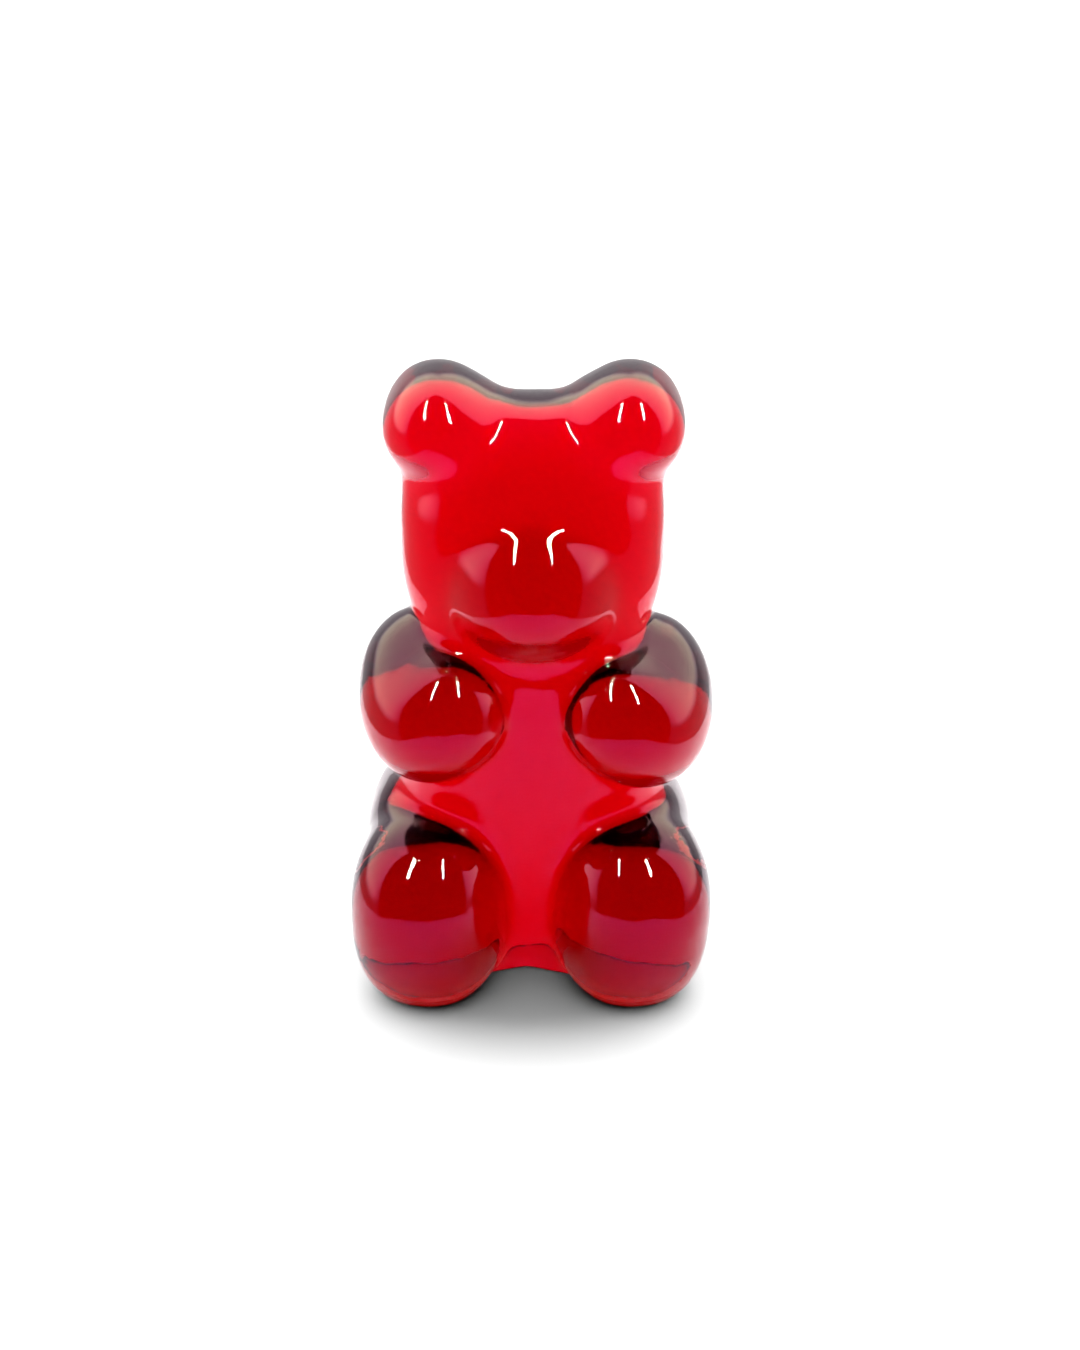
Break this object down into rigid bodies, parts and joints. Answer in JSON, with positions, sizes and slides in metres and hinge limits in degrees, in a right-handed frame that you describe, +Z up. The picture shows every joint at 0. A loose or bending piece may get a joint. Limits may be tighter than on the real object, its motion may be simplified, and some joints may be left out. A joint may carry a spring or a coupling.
{
  "type": "gummy bear ornament",
  "caption": "Chunky clear red gummy bear cast in resin: round ears, broad snout, stub arms held forward and thick legs, standing on a flat base.",
  "frame": {"origin": "middle of the bounding box, on the surface that the base stands on", "axes": "+Z up through the head, -Y the way the bear faces, +X towards the right of a viewer in front of it"},
  "size_m": [0.076, 0.0522, 0.1296],
  "materials": {
    "clear_red_resin": "clear red cast resin, polished to a wet gloss"
  },
  "bodies": {
    "root": {"bear": "clear_red_resin"}
  },
  "joints": []
}
